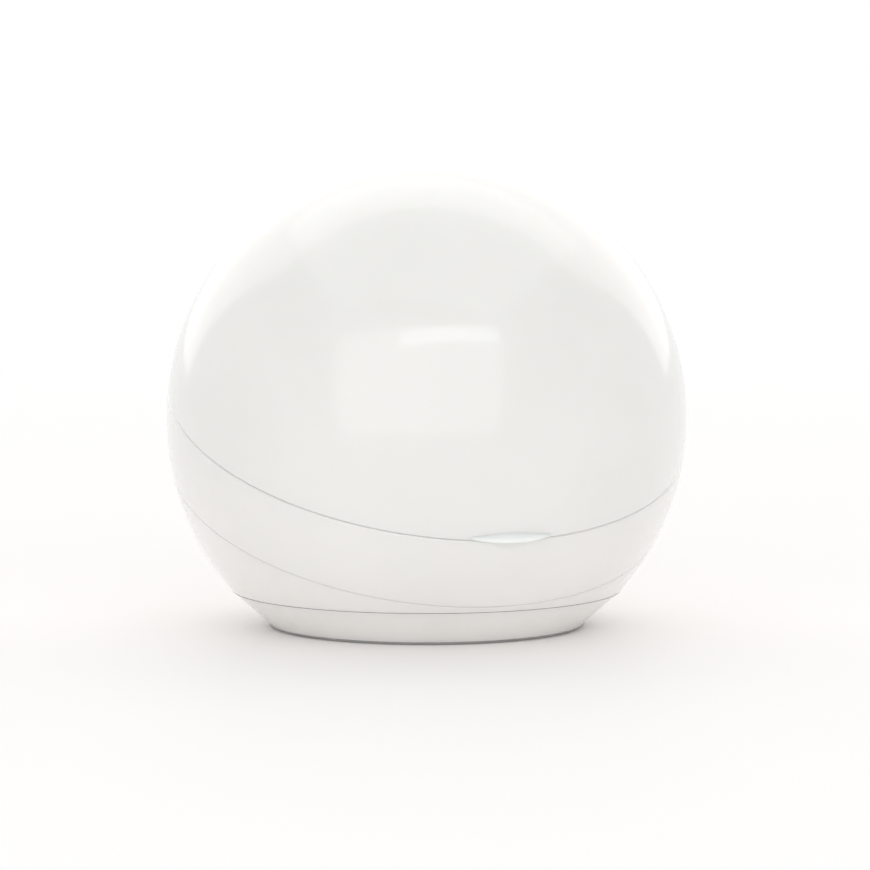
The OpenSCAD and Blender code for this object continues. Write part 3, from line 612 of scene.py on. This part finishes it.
def reflector_dome(outer, inner):
    """The thin mirrored dome inside the lid, with the finger that presses the safety switch."""
    low, edge, finger_trim = 2.15 * MM, 0.2 * MM, 0.4 * MM
    finger_size, finger_low = (3 * MM, 3 * MM, 10.4 * MM), (43.8 * MM, -1.5 * MM, 10.5 * MM)
    outside, inside = corner(outer, low, edge, 1, -1), corner(inner, low, edge, -1, -1)[::-1]
    points = [(0, outer), *sweep((0, outer), outside[0], 48), *outside, *inside]
    points += [*sweep(inside[-1], (0, inner), 48), (0, inner)]
    finger = moved(block(finger_size, finger_low, 0.4 * MM), turned(SWITCH_TURN))
    finger = combined(finger, ball_shape(outer - finger_trim), "INTERSECT")
    return joined(spun(points, closed=False, steps=BOWL_STEPS), finger)


def thumb_lip(s):
    """Crescent lip that slopes back into the ball, thick at its middle and gone at its ends."""
    sag = s.ball_radius + s.tab_out - height_on(s.ball_radius, s.tab_width / 2)
    radius = ((s.tab_width / 2) ** 2 + sag * sag) / (2 * sag)
    back = s.ball_radius + s.tab_out - radius
    low, high, nose, cove = s.parting_gap / 2 + 0.1 * MM, 2.25 * MM, 0.45 * MM, 2 * MM
    points = [(0, low), *arc((radius - nose, low + nose), nose, -90, 48, 10)]
    points += [*arc((radius + 0.1 * MM, high + 0.75 * MM), cove, 255, 202, 8), (0, high)]
    lip = moved(spun(points, closed=False, steps=480), Matrix.Translation((0, -back, 0)))
    lip = combined(lip, ball_shape(s.ball_radius - 0.03 * MM, steps=CUTTER_STEPS))
    stem_size, stem_low = (11 * MM, 1.6 * MM, 1.2 * MM), (-5.5 * MM, -51.1 * MM, 0.65 * MM)
    return joined(lip, block(stem_size, stem_low, 0.2 * MM))


class CASE_OT_lid(bpy.types.Operator):
    """Adds the lid's dome, its reflector and the thumb tab"""

    bl_idname = "case.lid"
    bl_label = "Lid"

    def execute(self, context):
        s, seam = sizes(), seam_frame()
        outer, inner = s.ball_radius, s.ball_radius - s.wall
        mirror_outer = inner - 0.1 * MM
        mirror_inner = mirror_outer - 0.9 * MM
        piece(
            "lid_dome", moved(lid_dome(s), seam), finish(glossy_shell), "lid", ("lid_shell",),
            balls=((outer, 1), (inner, -1)),
        )
        piece(
            "reflector_dome", moved(reflector_dome(mirror_outer, mirror_inner), seam), finish(mirror_dome),
            "lid", ("lid_liner",), balls=((mirror_outer, 1), (mirror_inner, -1)),
        )
        piece("thumb_lip", moved(thumb_lip(s), seam), finish(mint_tab), "lid", ("thumb_tab",))
        return {"FINISHED"}


# ---- The base's outer shells ----
def thumb_scoop(outer):
    """The ball that hollows the band below the thumb tab."""
    radius, depth, slope = 30 * MM, 1.3 * MM, math.radians(-5.5)
    scoop = ball_shape(radius, (0, -outer - radius + depth, 0), steps=CUTTER_STEPS)
    return moved(scoop, Matrix.Rotation(slope, 4, "X"))


def side_port():
    """The upright rounded opening on the right, through the band's wall."""
    size, low, rounding = (12 * MM, 6.4 * MM, 9 * MM), (46 * MM, -3.2 * MM, -13.1 * MM), 3 * MM
    port = block(size, low)
    corners = [e for e in port.edges if abs(e.verts[0].co.x - e.verts[1].co.x) > rounding]
    return bevelled(port, corners, rounding, 10)


def deck_lugs():
    """Three lugs under the ledge, for the deck's screws."""
    place, radius, low, high, rounding = 44.3 * MM, 4 * MM, -6 * MM, -4.3 * MM, 0.2 * MM
    lugs = []
    for turn in (90, 210, 330):
        lug = moved(drum(radius, low, high, rounding), Matrix.Translation((place, 0, 0)))
        lugs.append(moved(lug, turned(math.radians(turn))))
    return lugs


def rim_collar(s):
    """The band between the seam and the sloping line, with the ledge that carries the deck."""
    outer, inner = s.ball_radius, s.ball_radius - s.wall
    high, low = -s.parting_gap / 2, -s.band_height + s.parting_gap / 2
    ledge_bore, ledge_high, ledge_low, inner_edge = 46.2 * MM, -4.1 * MM, -5.6 * MM, 0.3 * MM
    top_outside = corner(outer, high, s.band_edge, 1, 1, 12)
    top_inside = corner(inner, high, inner_edge, -1, 1)[::-1]
    low_inside = corner(inner, low, SHELL_EDGE, -1, -1)
    low_outside = corner(outer, low, SHELL_EDGE, 1, -1)[::-1]
    ledge = [(height_on(inner, ledge_high), ledge_high), (ledge_bore, ledge_high)]
    ledge += [(ledge_bore, ledge_low), (height_on(inner, ledge_low), ledge_low)]
    points = [*top_outside, *top_inside, *sweep(top_inside[-1], ledge[0], 6), *ledge]
    points += [*sweep(ledge[-1], low_inside[0], 14), *low_inside, *low_outside]
    points += sweep(low_outside[-1], top_outside[0], 24)
    bm = spun(points)
    ears = [hinge_drum(KNUCKLE_RADIUS, EAR_HALF, side * EAR_PLACE, KNUCKLE_ROUNDING) for side in (-1, 1)]
    bm = combined(bm, combined(joined(*ears), ball_shape(inner + KNUCKLE_ROOT)), "UNION")
    notch = hinge_drum(KNUCKLE_ROOM, KNUCKLE_HALF + END_ROOM)
    return joined(combined(bm, joined(notch, thumb_scoop(outer), side_port())), *deck_lugs())


def base_cup(s):
    """The bowl between the sloping line and the level one.

    It is turned between two level rims, then its upper rim is tilted to the seam, and its two walls are
    divided and set out on the ball again. The tongue that steps into the band is a ring of its own.
    """
    outer, inner, centre, seam = s.ball_radius, s.ball_radius - s.wall, ball_centre(), seam_frame()
    low, high = s.foot_height + s.parting_gap - centre.z, -s.band_height - s.parting_gap / 2
    points = [*corner(outer, low, SHELL_EDGE, 1, -1)[::-1], *corner(outer, high, SHELL_EDGE, 1, 1)]
    points += [*corner(inner, high, SHELL_EDGE, -1, 1)[::-1], *corner(inner, low, SHELL_EDGE, -1, -1)]
    bm = spun(points)
    top = {v for v in bm.verts if v.co.z > (low + high) / 2}
    walls = [e for e in bm.edges if len(top.intersection(e.verts)) == 1]
    bmesh.ops.transform(bm, matrix=seam, verts=list(top))
    bmesh.ops.translate(bm, vec=centre, verts=[v for v in bm.verts if v not in top])
    for reach in (outer, inner):
        wall = [e for e in walls if abs((e.verts[0].co - centre).length - reach) < s.wall / 2]
        for item in bmesh.ops.subdivide_edges(bm, edges=wall, cuts=48)["geom_inner"]:
            if isinstance(item, bmesh.types.BMVert):
                item.co = centre + (item.co - centre).normalized() * reach
    tongue_out, tongue_in, tongue_low, tongue_high = 50.2 * MM, 49 * MM, -19.3 * MM, -14.3 * MM
    tongue = arc((0, 0), tongue_out, latitude(tongue_out, tongue_low), latitude(tongue_out, tongue_high), 8)
    tongue += arc((0, 0), tongue_in, latitude(tongue_in, tongue_high), latitude(tongue_in, tongue_low), 8)
    return joined(bm, moved(spun(tongue), seam))


def tread_ring():
    """The ring in the foot's groove, with a fine groove in its tread."""
    inside, outside, high, rise, chamfer = 29.3, 31.3, 1.5, 0.25, 0.3
    groove, groove_half, groove_depth = 30.25, 0.15, 0.2
    points = [(inside, high), (inside, rise), (inside + chamfer, 0), (groove - groove_half, 0)]
    points += [(groove, groove_depth), (groove + groove_half, 0), (outside - chamfer, 0)]
    points += [(outside, rise), (outside, high)]
    return spun(in_metres(points), steps=180)


class CASE_OT_base(bpy.types.Operator):
    """Adds the rim band, the base's cup, the foot pan, its anti-slip ring and the hinge's pin"""

    bl_idname = "case.base"
    bl_label = "Base shells"

    def execute(self, context):
        s, seam, shell = sizes(), seam_frame(), finish(glossy_shell)
        walls = ((s.ball_radius, 1), (s.ball_radius - s.wall, -1))
        piece("rim_collar", moved(rim_collar(s), seam), shell, "base", ("rim_band",), balls=walls)
        piece("base_cup", base_cup(s), shell, "base", ("base_shell",), balls=walls)
        refined("foot_cover", shell, "base", sharp=24)
        piece("tread_ring", tread_ring(), finish(foot_rubber), "base", ("foot_ring",), sharp=50)
        pin = hinge_drum(PIN_RADIUS, PIN_HALF, rounding=PIN_ROUNDING)
        piece("hinge_rod", moved(pin, seam), finish(drawn_steel), "base", ("hinge_pin",))
        return {"FINISHED"}


# ---- Deck, tray and chamber: outlines in millimetres, in the seam's frame ----
def deck_collar():
    """The ring that the lid closes over, stepped for the tray's rim, with the holes for plunger and LED."""
    skirt_out, skirt_in, low, shoulder = 48.8, 47.2, -3.5, 8.6
    points = [(48.64, -3.8)]
    points += arc((0, 0), skirt_out, latitude(skirt_out, low), latitude(skirt_out, shoulder), 14)
    points += arc((46.9, 8.8), 1.0, 15, 90, 6)
    points += arc((42.45, 9.36), 0.44, 90, 180, 4)
    points += arc((42.36, 6.75), 0.35, 180, 270, 4)
    points += arc((39.5, 6.0), 0.4, 90, 180, 4)
    points += [(39.1, 4.8), (43.6, 4.8), (43.6, 8.2), (46.4, 8.2), *arc((0, 0), skirt_in, 9.6, -4.4, 10)]
    deck = spun(in_metres(points), steps=INNER_STEPS)
    plunger_hole = moved(
        drum(1.3 * MM, -2 * MM, 3 * MM, steps=32),
        turned(SWITCH_TURN) @ Matrix.Translation((SWITCH_REACH, 0, 9 * MM)),
    )
    led_hole = moved(drum(1.6 * MM, -52 * MM, -44 * MM, steps=32), along_y(0, 0, 2.2 * MM))
    return combined(combined(deck, plunger_hole), led_hole)


def soother_tray(hole):
    """Rim, cove and raised platform in one skin round the teat's hole."""
    cove, cove_in, cove_out = (37.4, 17.3), 8.0, 9.4
    points = arc((41.1, 8.7), 0.6, 0, 90, 5)
    points += arc(cove, cove_in, 270, 180, 20)
    points += arc((28.7, 18.0), 0.7, 0, 90, 6)
    points += [(27.2, 18.68), (26.6, 18.1), (hole + 1.6, 16.95), (hole + 0.7, 16.7), (hole + 0.15, 16.3)]
    points += [(hole, 15.9), (hole, 12.5), (hole + 0.3, 12.2), (hole + 1.1, 12.2), (hole + 1.4, 12.5)]
    points += [(hole + 1.4, 15.2), (26.8, 16.7), (27.8, 17.2), *arc(cove, cove_out, 180, 270, 20)]
    points += arc((41.4, 8.2), 0.3, 270, 360, 3)
    return spun(in_metres(points), steps=INNER_STEPS)


def lamp_bowl():
    """The polished bowl under the lamp: a hollow sphere's cap with a flat floor and a turned rim."""
    middle, inner, outer, floor, wall = 19.81, 40.0, 41.2, -13.0, 1.2
    rim_high, rim_low = 7.6, 6.5
    points = [(0, floor)]
    points += arc((0, middle), inner, latitude(inner, floor - middle), latitude(inner, rim_high - middle), 30)
    points += [(41.4, rim_high), (41.7, 7.3), (41.7, 6.8), (41.4, rim_low)]
    points += arc((0, middle), outer, latitude(outer, rim_low - middle), -56.0, 30)
    points += [(height_on(outer, middle - floor + wall), floor - wall), (0, floor - wall)]
    return spun(in_metres(points), closed=False, steps=BOWL_STEPS)


def lamp_grille():
    """A ring with nine bars one way and two across them, cut to a round outline."""
    reach, pitch, bar, low, height, across, rounding = 28.5, 5.6, 1.6, -6.5, 1.2, 10, 0.25 * MM
    ring = [(27.4, -6.3), (27.6, low), (29.9, low), (30.1, -6.3), (30.5, -5.5), (30.4, -5.3)]
    ring += [(27.6, -5.3), (27.4, -5.5)]
    bars = []
    for place in (i * pitch for i in range(-4, 5)):
        half = height_on(reach, place)
        size = (bar * MM, 2 * half * MM, height * MM)
        bars.append(block(size, ((place - bar / 2) * MM, -half * MM, low * MM), rounding))
    half = height_on(reach, across)
    for place in (-across, across):
        size = (2 * half * MM, bar * MM, (height - 0.05) * MM)
        bars.append(block(size, (-half * MM, (place - bar / 2) * MM, (low + 0.02) * MM), rounding))
    return joined(spun(in_metres(ring), steps=120), *bars)


def lamp_tube():
    """U-shaped tube: a round outline spun through the bend, with two straight legs."""
    radius, bend, leg, place = 2.2 * MM, 6.5 * MM, 22.4 * MM, (0, -9 * MM, -9.7 * MM)
    bm = bmesh.new()
    outline = bmesh.ops.create_circle(bm, radius=radius, segments=32)["verts"]
    bmesh.ops.transform(bm, matrix=along_y(bend), verts=outline)
    first = list(bm.edges)

    def draw_leg(edges):
        drawn = bmesh.ops.extrude_edge_only(bm, edges=edges)["geom"]
        end = [v for v in drawn if isinstance(v, bmesh.types.BMVert)]
        bmesh.ops.translate(bm, vec=(0, leg, 0), verts=end)
        bmesh.ops.contextual_create(bm, geom=[e for e in bm.edges if all(v in end for v in e.verts)])

    draw_leg(first)
    bend_end = bmesh.ops.spin(
        bm, geom=first, axis=(0, 0, 1), cent=(0, 0, 0), angle=-math.pi, steps=28
    )["geom_last"]
    draw_leg([e for e in bend_end if isinstance(e, bmesh.types.BMEdge)])
    bmesh.ops.remove_doubles(bm, verts=bm.verts, dist=WELD)
    bmesh.ops.recalc_face_normals(bm, faces=bm.faces)
    return moved(bm, Matrix.Translation(place))


class CASE_OT_chamber(bpy.types.Operator):
    """Adds the deck, the lift-out tray, the bowl, the grille and the lamp"""

    bl_idname = "case.chamber"
    bl_label = "Tray and chamber"

    def execute(self, context):
        seam, white = seam_frame(), finish(satin_tray)
        deck, tray = moved(deck_collar(), seam), moved(soother_tray(sizes().teat_hole / MM), seam)
        bowl, grille, tube = (moved(shape(), seam) for shape in (lamp_bowl, lamp_grille, lamp_tube))
        piece("deck_collar", deck, white, "base", ("deck_ring",), sharp=28)
        piece("lift_tray", tray, white, "tray", ("soother_tray",))
        piece("lamp_bowl", bowl, finish(spun_bowl), "base", ("chamber_bowl",))
        piece("lamp_grille", grille, finish(satin_grille), "base", ("lamp_guard",))
        piece("lamp_tube", tube, finish(lamp_glass), "base", ("uv_lamp",))
        return {"FINISHED"}


# ---- Everything that keeps its CAD shape: node, finish, slot, body and rounding in mm ----
INNER_PARTS = (
    ("battery_door", glossy_shell, "shell_plastic", "door", 0.0),
    ("door_screw", drawn_steel, "steel", "door", 0.1),
    ("case_screws", drawn_steel, "steel", "base", 0.1),
    ("deck_screws", drawn_steel, "steel", "base", 0.1),
    ("lamp_socket", lamp_ceramic, "white_plastic", "base", 0.3),
    ("lamp_clip", satin_grille, "white_plastic", "base", 0.2),
    ("lamp_reflector", spun_bowl, "chamber_metal", "base", 0.0),
    ("lamp_leads", red_lead, "lead_insulation", "base", 0.0),
    ("switch_body", black_plastic, "black_plastic", "base", 0.2),
    ("switch_plunger", grey_plastic, "grey_plastic", "plunger", 0.0),
    ("indicator_led", led_resin, "led_resin", "base", 0.0),
    ("main_board", circuit_board, "board", "base", 0.0),
    ("board_screws", drawn_steel, "steel", "base", 0.1),
    ("control_chip", black_plastic, "black_plastic", "base", 0.0),
    ("lamp_transformer", copper_winding, "copper", "base", 0.0),
    ("smoothing_capacitor", capacitor_sleeve, "capacitor_sleeve", "base", 0.0),
    ("drive_transistors", black_plastic, "black_plastic", "base", 0.0),
    ("lead_plug", ivory_plastic, "ivory_plastic", "base", 0.2),
    ("power_jack", black_plastic, "black_plastic", "base", 0.2),
    ("jack_board", circuit_board, "board", "base", 0.1),
    ("jack_leads", red_lead, "lead_insulation", "base", 0.0),
    ("battery_cells", cell_sleeve, "cell_sleeve", "base", 0.0),
    ("spring_contacts", nickel_strip, "nickel", "base", 0.0),
    ("plate_contacts", nickel_strip, "nickel", "base", 0.0),
)


class CASE_OT_inner_parts(bpy.types.Operator):
    """Adds the parts that keep their CAD shape, welded, rounded and finished"""

    bl_idname = "case.inner_parts"
    bl_label = "Inner parts"

    def execute(self, context):
        for node, maker, slot, body, width in INNER_PARTS:
            refined(node, finish(maker), body, width * MM)
        return {"FINISHED"}


# ---- Stage ----
FLOOR_RADIUS = 3.0
FLOOR_FADE = (0.12, 0.5)  # from the middle to where the floor has turned plain white
FLOOR_GLOW = 0.14  # painted glow: light that the floor gives off onto the case's underside, for every ray but camera, glossy and transmission ones
# Colour of the floor's painted glow
FLOOR_GLOW_COLOUR = (1, 0.96, 0.94, 1)
WHITE = (1, 1, 1, 1)
ROOM_COLOUR = (0.94, 0.95, 0.94, 1)
ROOM_LIGHT = 0.67
LIGHT_AIM = Vector((0, 0, 0.05))

# The photograph's long lens: its angles, its distance and how far it stands off the ball's foot
CAMERA_AZIMUTH = math.radians(-20.2)
CAMERA_ELEVATION = math.radians(6.3)
CAMERA_DISTANCE = 2.0285
CAMERA_RIGHT = 0.0017
CAMERA_UP = 0.0384
CAMERA_LENS = 415.2
CAMERA_SENSOR = 36


def area_light(name, place, size, power, colour=(1, 1, 1)):
    """A soft box that faces the case and that the camera doesn't see."""
    light = bpy.data.lights.new(name, "AREA")
    light.shape, light.size, light.size_y = "RECTANGLE", *size
    light.energy, light.color = power, colour
    obj = bpy.data.objects.new(name, light)
    obj.location = place
    obj.rotation_euler = (LIGHT_AIM - Vector(place)).to_track_quat("-Z", "Y").to_euler()
    obj.visible_camera = False
    bpy.context.scene.collection.objects.link(obj)


def floor_finish():
    """A pale floor that fades to plain white with distance, for the camera and for reflections, and that
    glows as a painted fill light on the case's underside.
    """
    f = Finish("pale_floor", Metallic=0.0, Roughness=0.6, Emission_Color=FLOOR_GLOW_COLOUR)
    f.mottled(colours().floor, 0.004, 8)
    distance = f.node("VectorMath", {0: f.place}, operation="LENGTH").outputs["Value"]
    path = f.node("LightPath")
    mirrored = f.math("MAXIMUM", path.outputs["Is Glossy Ray"], path.outputs["Is Transmission Ray"])
    seen = f.math("MAXIMUM", path.outputs["Is Camera Ray"], mirrored)
    # Painted glow: the floor gives off light for every ray but camera, glossy and transmission ones, a hidden
    # fill on the case's underside.
    f.to("Emission Strength", f.math("MULTIPLY", f.math("SUBTRACT", 1.0, seen), FLOOR_GLOW))
    far = f.math("MULTIPLY", f.ranged(distance, 0, 1, *FLOOR_FADE), seen)
    white = f.node("Emission", {"Color": WHITE, "Strength": 1.0}).outputs[0]
    mix = f.node("MixShader", {0: far, 1: f.shader.outputs[0], 2: white})
    f.links.new(mix.outputs[0], f.nodes["Material Output"].inputs["Surface"])
    return f.material


def stage_floor():
    bm = bmesh.new()
    bmesh.ops.create_circle(bm, cap_ends=True, radius=FLOOR_RADIUS, segments=96)
    mesh = bpy.data.meshes.new("floor")
    bm.to_mesh(mesh)
    bm.free()
    mesh.materials.append(floor_finish())
    floor = bpy.data.objects.new("floor", mesh)
    bpy.context.scene.collection.objects.link(floor)


def studio_world():
    """Soft light from all round, and plain white for the camera and for reflections."""
    world = bpy.data.worlds.new("studio")
    bpy.context.scene.world = world
    world.use_nodes = True
    nodes, links = world.node_tree.nodes, world.node_tree.links
    soft = nodes["Background"]
    soft.inputs["Color"].default_value = ROOM_COLOUR
    soft.inputs["Strength"].default_value = ROOM_LIGHT
    white = nodes.new("ShaderNodeBackground")
    white.inputs["Color"].default_value = WHITE
    path = nodes.new("ShaderNodeLightPath")
    seen = path.outputs["Is Camera Ray"]
    for ray in ("Is Glossy Ray", "Is Transmission Ray"):
        either = nodes.new("ShaderNodeMath")
        either.operation = "MAXIMUM"
        links.new(seen, either.inputs[0])
        links.new(path.outputs[ray], either.inputs[1])
        seen = either.outputs[0]
    mix = nodes.new("ShaderNodeMixShader")
    links.new(seen, mix.inputs[0])
    links.new(soft.outputs[0], mix.inputs[1])
    links.new(white.outputs[0], mix.inputs[2])
    links.new(mix.outputs[0], nodes["World Output"].inputs["Surface"])


def photo_camera():
    """A camera at the photograph's angle, two metres away."""
    level = math.cos(CAMERA_ELEVATION)
    right = Vector((math.cos(CAMERA_AZIMUTH), math.sin(CAMERA_AZIMUTH), 0))
    ahead = Vector((
        -math.sin(CAMERA_AZIMUTH) * level, math.cos(CAMERA_AZIMUTH) * level, -math.sin(CAMERA_ELEVATION)
    ))
    up = right.cross(ahead)
    data = bpy.data.cameras.new("camera")
    data.lens, data.sensor_width = CAMERA_LENS, CAMERA_SENSOR
    data.clip_start, data.clip_end = 0.1, 20
    cam = bpy.data.objects.new("camera", data)
    cam.location = -CAMERA_DISTANCE * ahead + CAMERA_RIGHT * right + CAMERA_UP * up
    cam.rotation_euler = ahead.to_track_quat("-Z", "Y").to_euler()
    bpy.context.scene.collection.objects.link(cam)
    bpy.context.scene.camera = cam


class CASE_OT_stage(bpy.types.Operator):
    """Adds the camera, the pale floor and the soft studio light"""

    bl_idname = "case.stage"
    bl_label = "Stage"

    def execute(self, context):
        photo_camera()
        stage_floor()
        studio_world()
        area_light("top_box", (0.05, 0.1, 0.95), (1.5, 1.5), 2.2)
        area_light("front_box", (-0.5, -1.15, 0.55), (2.0, 1.2), 4.5)
        area_light("strip_box", (-0.1, -0.75, 0.72), (0.75, 0.12), 0.4)
        area_light("back_wall", (0.5, 1.35, 1.1), (4.2, 2.3), 15.0, (1, 0.96, 0.93))
        context.scene.view_settings.view_transform = "Standard"
        return {"FINISHED"}


# ---- The add-on ----
OPERATORS = (CASE_OT_stage, CASE_OT_lid, CASE_OT_base, CASE_OT_chamber, CASE_OT_inner_parts)


class CASE_PT_panel(bpy.types.Panel):
    """Lists the case's sizes, its colours and its operators"""

    bl_label = "Soother steriliser case"
    bl_idname = "CASE_PT_panel"
    bl_space_type = "VIEW_3D"
    bl_region_type = "UI"
    bl_category = "Steriliser"

    def draw(self, context):
        layout = self.layout
        for group in (sizes(), colours()):
            box = layout.box()
            for name in group.__annotations__:
                box.prop(group, name)
        for operator in OPERATORS:
            layout.operator(operator.bl_idname)


CLASSES = (CaseSizes, CaseColours, *OPERATORS, CASE_PT_panel)


def register():
    for cls in CLASSES:
        bpy.utils.register_class(cls)
    bpy.types.Scene.case_sizes = PointerProperty(type=CaseSizes)
    bpy.types.Scene.case_colours = PointerProperty(type=CaseColours)


def unregister():
    del bpy.types.Scene.case_colours
    del bpy.types.Scene.case_sizes
    for cls in reversed(CLASSES):
        bpy.utils.unregister_class(cls)


def main():
    register()
    for operator in OPERATORS:
        group, name = operator.bl_idname.split(".")
        getattr(getattr(bpy.ops, group), name)()


if __name__ == "__main__":
    main()
